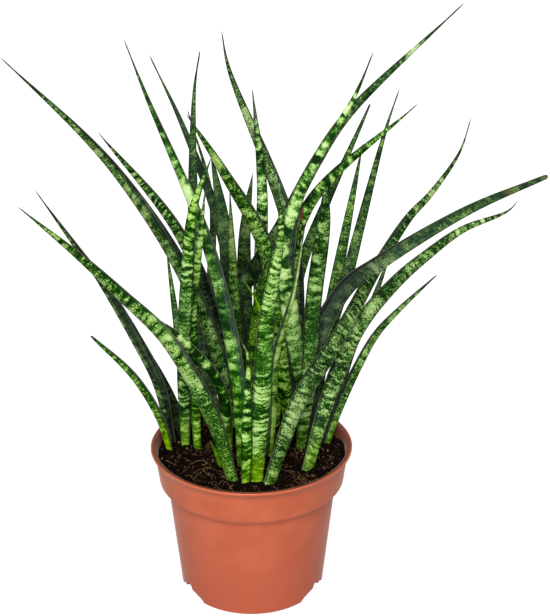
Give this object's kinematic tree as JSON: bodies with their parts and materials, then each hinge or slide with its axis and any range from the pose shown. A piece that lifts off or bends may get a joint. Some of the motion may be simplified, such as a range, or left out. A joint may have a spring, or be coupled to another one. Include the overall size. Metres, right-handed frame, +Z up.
{
  "type": "cylindrical snake plant in a nursery pot",
  "caption": "Clump of long, narrow, channelled succulent leaves rising and arching out of dark compost in a round plastic nursery pot with a stepped collar and arched drain cut-outs.",
  "frame": {"origin": "middle of the pot's underside, on the surface it stands on", "axes": "+Z up along the pot's axis, -Y towards the front of the plant, +X to its right"},
  "size_m": [0.301, 0.155, 0.351],
  "materials": {
    "pot": "satin terracotta-orange moulded polypropylene",
    "compost": "matt, near-black potting mix with reddish fibres",
    "leaf": "satin fleshy leaf, dark green with pale yellow-green cross bands and grey-purple edges and tip",
    "young_leaf": "satin bright yellow-green shoot",
    "dead_leaf": "matt brown dried stub"
  },
  "bodies": {
    "root": {"nursery_pot": "pot", "soil": "compost", "leaf_front_1": "leaf", "leaf_front_2": "leaf", "leaf_front_3": "leaf", "leaf_front_4": "leaf", "leaf_front_5": "leaf", "leaf_front_6": "leaf", "leaf_left_1": "leaf", "leaf_left_2": "leaf", "leaf_left_3": "leaf", "leaf_left_4": "leaf", "leaf_left_5": "leaf", "leaf_left_6": "leaf", "leaf_right_1": "leaf", "leaf_right_2": "leaf", "leaf_right_3": "leaf", "leaf_right_4": "leaf", "leaf_right_5": "leaf", "leaf_right_6": "leaf", "leaf_right_7": "leaf", "leaf_right_8": "leaf", "leaf_right_9": "leaf", "leaf_right_10": "leaf", "leaf_right_11": "leaf", "leaf_back_1": "leaf", "leaf_back_2": "leaf", "leaf_back_3": "leaf", "leaf_back_4": "leaf", "leaf_back_5": "leaf", "leaf_back_6": "leaf", "leaf_back_7": "leaf", "leaf_back_8": "leaf", "leaf_back_9": "leaf", "leaf_back_10": "leaf", "leaf_back_11": "leaf", "leaf_back_12": "leaf", "leaf_back_13": "leaf", "leaf_back_14": "leaf", "shoot_middle": "young_leaf", "shoot_left": "young_leaf", "dry_stub": "dead_leaf"}
  },
  "joints": []
}
